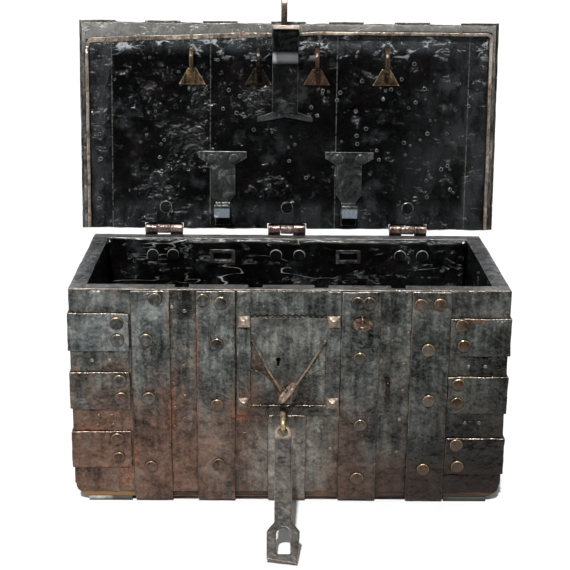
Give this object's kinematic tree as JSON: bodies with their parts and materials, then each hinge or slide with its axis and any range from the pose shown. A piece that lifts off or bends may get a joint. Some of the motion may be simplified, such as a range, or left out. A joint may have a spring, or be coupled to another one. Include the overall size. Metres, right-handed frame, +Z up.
{
  "type": "armada chest",
  "caption": "Iron-bound oak strong chest with hinged lid, riveted straps and bands, front hasp with staple, pull ring, link and a sliding bolt bar that locks the lid.",
  "frame": {"origin": "middle of the chest at floor level, on the plane of the runners' undersides", "axes": "+X to the right seen from the front, +Y from the front to the hinges, +Z up"},
  "size_m": [0.924, 0.7696, 0.9843],
  "materials": {
    "oak": "dry, dark oak boards",
    "sheet_iron": "worn dark grey-green finish on hammered sheet",
    "strap_iron": "worn dark grey finish, bright edges, some rust",
    "rivet_iron": "domed heads, worn brighter than the straps",
    "lining_iron": "glossy black, wrinkled",
    "hinge_iron": "forged, brown-grey",
    "worn_steel": "bare, worn steel with brown patina"
  },
  "bodies": {
    "chest": {"oak_front": "oak", "oak_back": "oak", "oak_left": "oak", "oak_right": "oak", "oak_bottom": "oak", "runners": "oak", "cladding_front": "sheet_iron", "cladding_back": "sheet_iron", "cladding_ends": "sheet_iron", "cladding_bottom": "sheet_iron", "lining_walls": "lining_iron", "lining_floor": "lining_iron", "rim_cap": "sheet_iron", "strap_far_left": "strap_iron", "strap_left": "strap_iron", "strap_centre": "strap_iron", "strap_right": "strap_iron", "strap_far_right": "strap_iron", "band_left_low": "strap_iron", "band_left_middle": "strap_iron", "band_left_high": "strap_iron", "band_right_low": "strap_iron", "band_right_middle": "strap_iron", "band_right_high": "strap_iron", "outer_rivets": "rivet_iron", "outer_nails": "rivet_iron", "lining_rivets": "rivet_iron", "lock_frame": "strap_iron", "corner_bosses": "rivet_iron", "scalloped_plate": "sheet_iron", "shield_plate": "sheet_iron", "lower_lock_plates": "sheet_iron", "hasp_staple": "worn_steel", "ring_staple": "worn_steel", "side_staple": "worn_steel", "link_staple": "worn_steel", "hook_catches": "lining_iron", "hinge_leaves": "hinge_iron", "hinge_pins": "hinge_iron", "lock_case": "lining_iron", "bolt_guides": "lining_iron", "tumbler_spring": "lining_iron"},
    "lid": {"lid_board": "oak", "lid_cladding": "sheet_iron", "lid_lining": "lining_iron", "lid_border": "sheet_iron", "lid_ridge": "worn_steel", "lid_hinge_straps": "hinge_iron", "lid_plain_straps": "strap_iron", "lid_inner_strap": "lining_iron", "lid_staples": "hinge_iron", "lid_hooks": "hinge_iron", "hasp_bracket": "hinge_iron", "lid_eye": "hinge_iron", "lid_rivets": "rivet_iron"},
    "hasp": {"hasp": "worn_steel"},
    "pull_ring": {"pull_ring": "worn_steel"},
    "shield_link": {"shield_link": "worn_steel"},
    "bolt": {"bolt_bar": "lining_iron"}
  },
  "joints": [
    {"name": "lid_hinge", "type": "hinge", "parent": "chest", "child": "lid", "pos_m": [0, 0.214, 0.4685], "axis": [1, 0, 0], "range_deg": [0, 97.24]},
    {"name": "hasp_swing", "type": "hinge", "parent": "chest", "child": "hasp", "pos_m": [-0.012, -0.252, 0.188], "axis": [-1, 0, 0], "range_deg": [-50.3, 129.7]},
    {"name": "pull_ring_swing", "type": "hinge", "parent": "chest", "child": "pull_ring", "pos_m": [0.142, -0.218, 0.396], "axis": [-1, 0, 0], "range_deg": [-75, 55]},
    {"name": "shield_link_swing", "type": "hinge", "parent": "chest", "child": "shield_link", "pos_m": [-0.005, -0.2195, 0.249], "axis": [-0.6018, 0, -0.7986], "range_deg": [-65, 10]},
    {"name": "bolt_slide", "type": "slide", "parent": "chest", "child": "bolt", "axis": [1, 0, 0], "range_m": [0, 0.024]}
  ]
}
